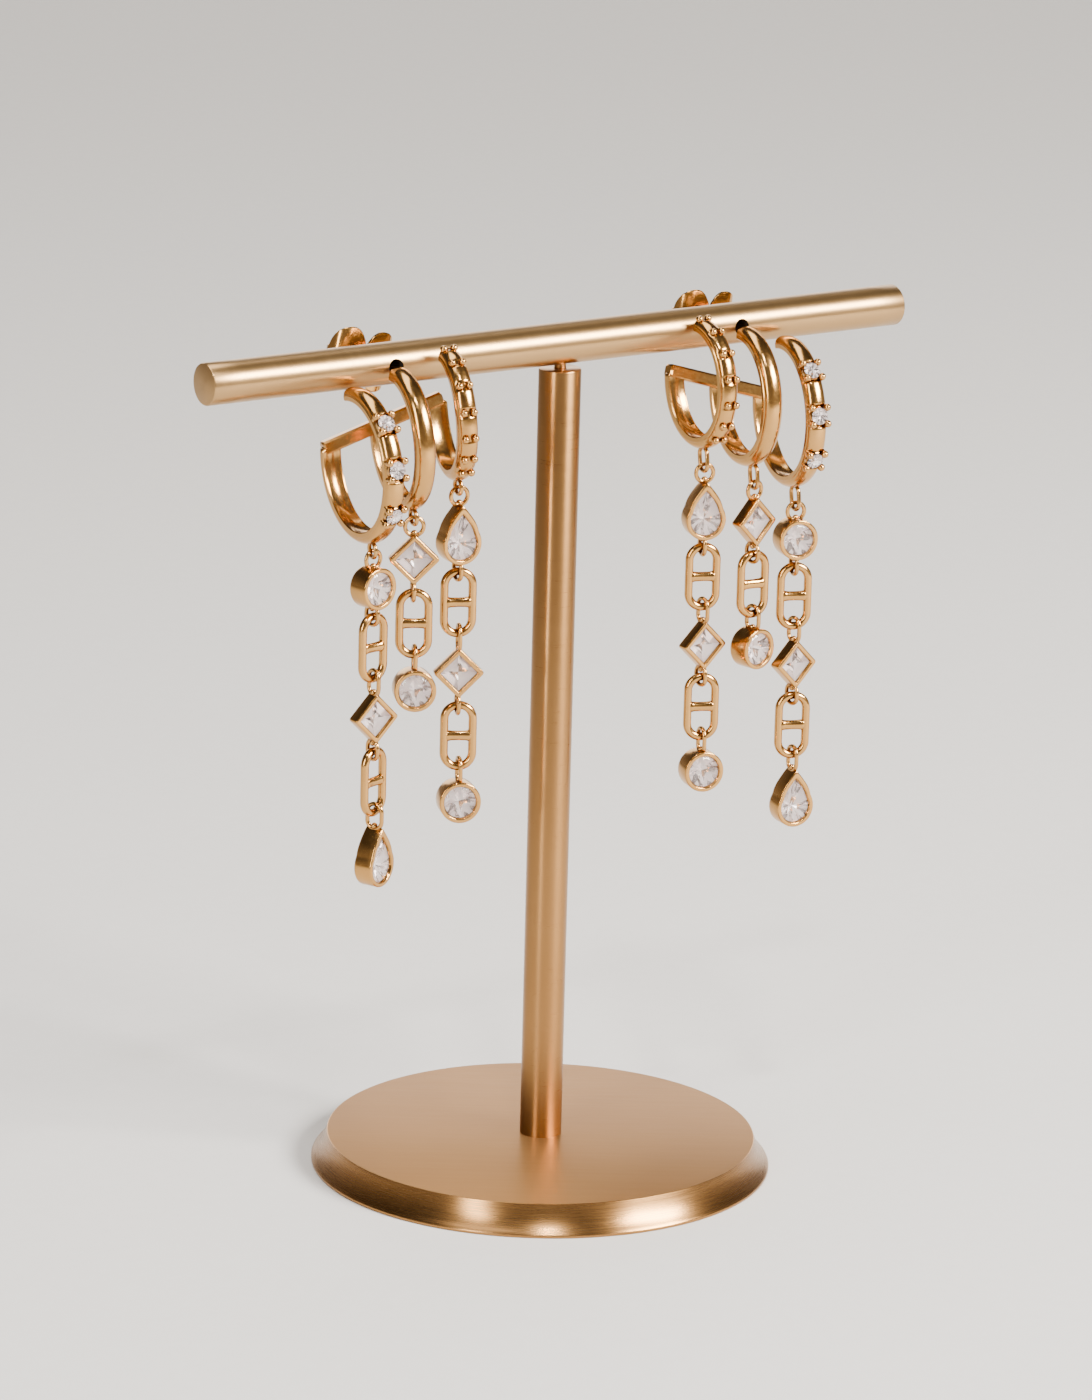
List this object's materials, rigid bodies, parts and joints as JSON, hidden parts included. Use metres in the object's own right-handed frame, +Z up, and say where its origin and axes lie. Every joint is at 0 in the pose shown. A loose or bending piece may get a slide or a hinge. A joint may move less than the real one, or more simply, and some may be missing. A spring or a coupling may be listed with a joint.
{
  "type": "pair of chandelier earrings on a display stand",
  "caption": "Chandelier earrings, each three open hoops with bezel-set drops on mariner links, hanging from the cross bar of a brushed brass T-bar stand.",
  "frame": {"origin": "centre of the base's underside, on the surface that the stand rests on", "axes": "+Z up along the post, +X along the cross bar to the right earring as seen from the front, -Y the front where the hoops hang"},
  "size_m": [0.0982, 0.056, 0.1064],
  "materials": {
    "brushed_brass": "brushed satin brass",
    "polished_gold": "polished yellow gold plating",
    "clear_stone": "clear faceted stone"
  },
  "bodies": {
    "root": {"stand_base": "brushed_brass", "stand_post": "brushed_brass", "stand_bar": "brushed_brass", "left_hoops": "polished_gold", "left_butterfly_nut": "polished_gold", "left_hoop_stone_1": "clear_stone", "left_hoop_stone_2": "clear_stone", "left_hoop_stone_3": "clear_stone", "left_outer_round_setting": "polished_gold", "left_outer_round_stone": "clear_stone", "left_outer_link_1": "polished_gold", "left_outer_square_setting": "polished_gold", "left_outer_square_stone": "clear_stone", "left_outer_link_2": "polished_gold", "left_outer_pear_setting": "polished_gold", "left_outer_pear_stone": "clear_stone", "left_middle_square_setting": "polished_gold", "left_middle_square_stone": "clear_stone", "left_middle_link_1": "polished_gold", "left_middle_round_setting": "polished_gold", "left_middle_round_stone": "clear_stone", "left_inner_pear_setting": "polished_gold", "left_inner_pear_stone": "clear_stone", "left_inner_link_1": "polished_gold", "left_inner_square_setting": "polished_gold", "left_inner_square_stone": "clear_stone", "left_inner_link_2": "polished_gold", "left_inner_round_setting": "polished_gold", "left_inner_round_stone": "clear_stone", "right_hoops": "polished_gold", "right_butterfly_nut": "polished_gold", "right_hoop_stone_1": "clear_stone", "right_hoop_stone_2": "clear_stone", "right_hoop_stone_3": "clear_stone", "right_outer_round_setting": "polished_gold", "right_outer_round_stone": "clear_stone", "right_outer_link_1": "polished_gold", "right_outer_square_setting": "polished_gold", "right_outer_square_stone": "clear_stone", "right_outer_link_2": "polished_gold", "right_outer_pear_setting": "polished_gold", "right_outer_pear_stone": "clear_stone", "right_middle_square_setting": "polished_gold", "right_middle_square_stone": "clear_stone", "right_middle_link_1": "polished_gold", "right_middle_round_setting": "polished_gold", "right_middle_round_stone": "clear_stone", "right_inner_pear_setting": "polished_gold", "right_inner_pear_stone": "clear_stone", "right_inner_link_1": "polished_gold", "right_inner_square_setting": "polished_gold", "right_inner_square_stone": "clear_stone", "right_inner_link_2": "polished_gold", "right_inner_round_setting": "polished_gold", "right_inner_round_stone": "clear_stone"}
  },
  "joints": []
}
